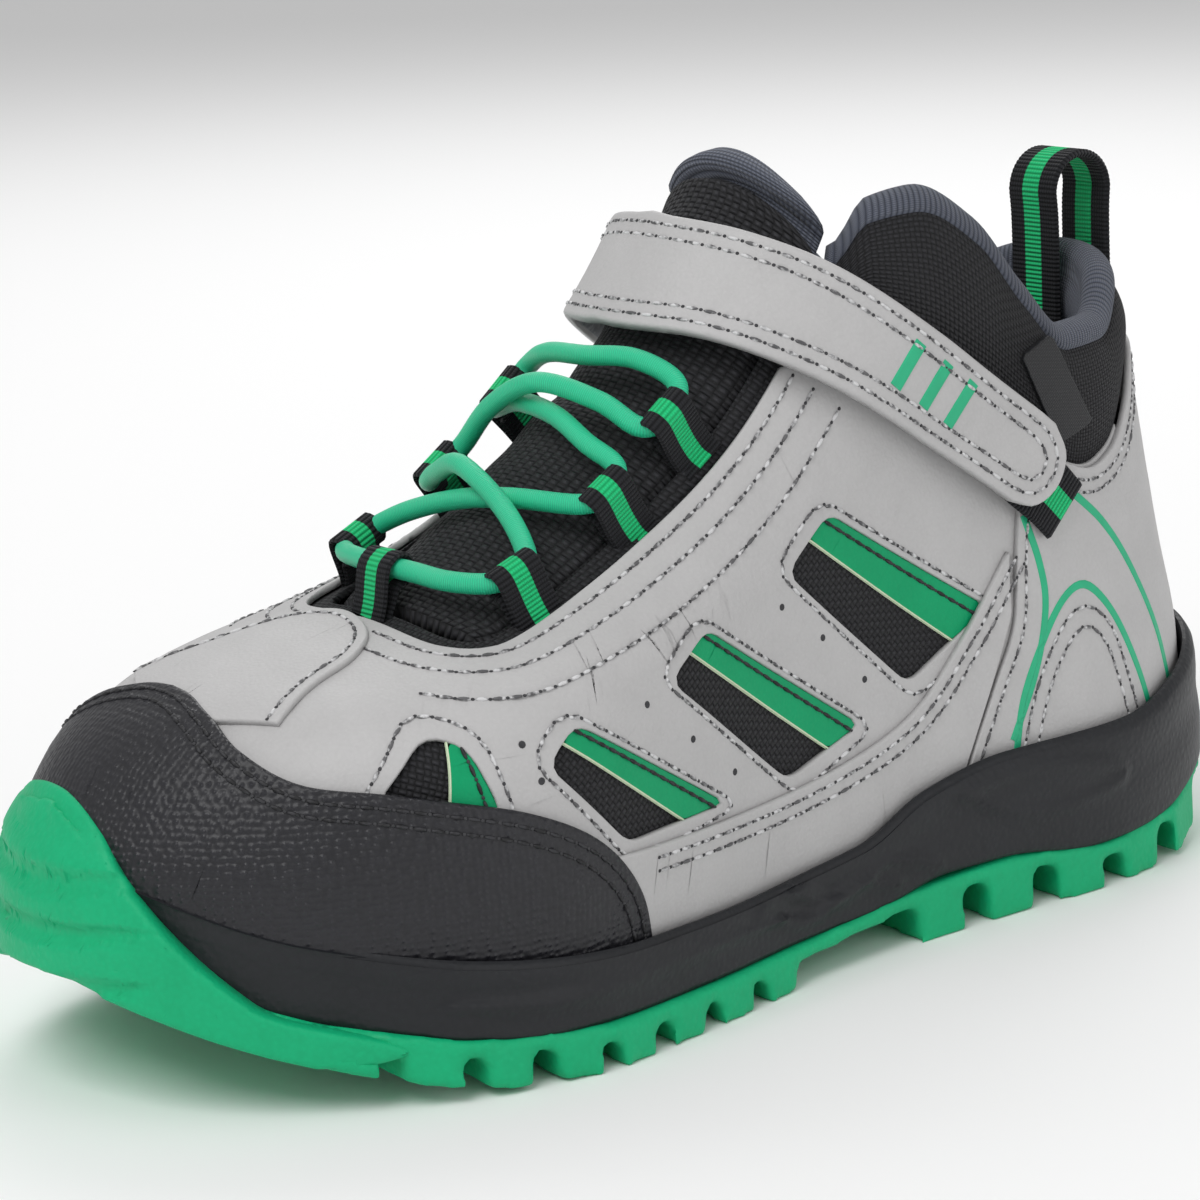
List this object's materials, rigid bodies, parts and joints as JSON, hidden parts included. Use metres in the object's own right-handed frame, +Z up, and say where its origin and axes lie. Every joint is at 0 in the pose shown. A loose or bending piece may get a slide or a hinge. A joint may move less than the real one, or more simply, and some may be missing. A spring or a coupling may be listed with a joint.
{
  "type": "hiking boot",
  "caption": "Child's mid-cut hiking boot, left foot, with a lugged sole, a padded collar, an elastic lace and an ankle strap that opens.",
  "frame": {"origin": "middle of the boot's bounding box at ground level", "axes": "toe towards -Y, heel towards +Y, outer side of the foot towards +X, +Z up"},
  "size_m": [0.0996, 0.2416, 0.137],
  "materials": {
    "green_rubber": "moulded solid rubber, satin, fine grain on the side walls",
    "black_foam": "moulded black foam with a pebbled skin",
    "steel_shank": "stamped spring steel, hidden in the midsole",
    "fibre_board": "pressed cellulose board, hidden under the insole",
    "grey_mesh": "blue-grey knitted spacer mesh",
    "black_oxford": "black coarse plain-weave polyester",
    "black_mesh": "black knitted mesh",
    "stiffener": "thermoplastic stiffener sheet, hidden between the layers",
    "green_trim": "green coated synthetic leather strip",
    "black_cap": "black film with a fine embossed hexagon texture",
    "elastic_cord": "round braided elastic cord",
    "webbing": "ribbed polyester webbing, black with green bands",
    "black_label": "plain woven label, satin",
    "hook_and_loop": "nylon hook and loop tape",
    "grey_leather": "light warm grey synthetic leather with a fine grain"
  },
  "bodies": {
    "boot": {"collar": "black_oxford", "collar_lining": "grey_mesh", "elastic_lace": "elastic_cord", "foxing_lateral": "grey_leather", "foxing_medial": "grey_leather", "heel_counter": "stiffener", "heel_loop": "webbing", "heel_panel": "grey_leather", "heel_patch": "black_mesh", "insert_lateral_1": "green_trim", "insert_lateral_2": "green_trim", "insert_lateral_3": "green_trim", "insert_lateral_4": "green_trim", "insert_medial_1": "green_trim", "insert_medial_2": "green_trim", "insert_medial_3": "green_trim", "insert_medial_4": "green_trim", "insole": "grey_mesh", "insole_board": "fibre_board", "lace_loop_base": "webbing", "lace_loop_lateral_1": "webbing", "lace_loop_lateral_2": "webbing", "lace_loop_lateral_3": "webbing", "lace_loop_medial_1": "webbing", "lace_loop_medial_2": "webbing", "lace_loop_medial_3": "webbing", "lining": "grey_mesh", "loop_patch": "hook_and_loop", "midsole": "black_foam", "outsole": "green_rubber", "quarter_lateral": "grey_leather", "quarter_medial": "grey_leather", "shank": "steel_shank", "strap_anchor": "grey_leather", "textile_shell": "black_oxford", "toe_cap": "black_cap", "toe_puff": "stiffener", "vamp_tab": "grey_leather", "woven_label": "black_label"},
    "strap": {"strap": "grey_leather"},
    "strap_end": {"strap_end": "grey_leather", "hook_patch": "hook_and_loop", "pull_tab": "webbing"},
    "tongue": {"tongue": "black_oxford", "tongue_lining": "grey_mesh"}
  },
  "joints": [
    {"name": "strap_lift", "type": "hinge", "parent": "boot", "child": "strap", "pos_m": [-0.0325, 0.0237, 0.1041], "axis": [0.0201, -0.5754, -0.8176], "range_deg": [0, 80]},
    {"name": "strap_peel", "type": "hinge", "parent": "strap", "child": "strap_end", "pos_m": [0.036, 0.0365, 0.095], "axis": [-0.0513, -0.5675, -0.8218], "range_deg": [0, 100]},
    {"name": "tongue_tilt", "type": "hinge", "parent": "boot", "child": "tongue", "pos_m": [0.0016, -0.053, 0.069], "axis": [-1, 0, 0], "range_deg": [0, 10], "stiffness_Nm_per_rad": 0.2}
  ]
}
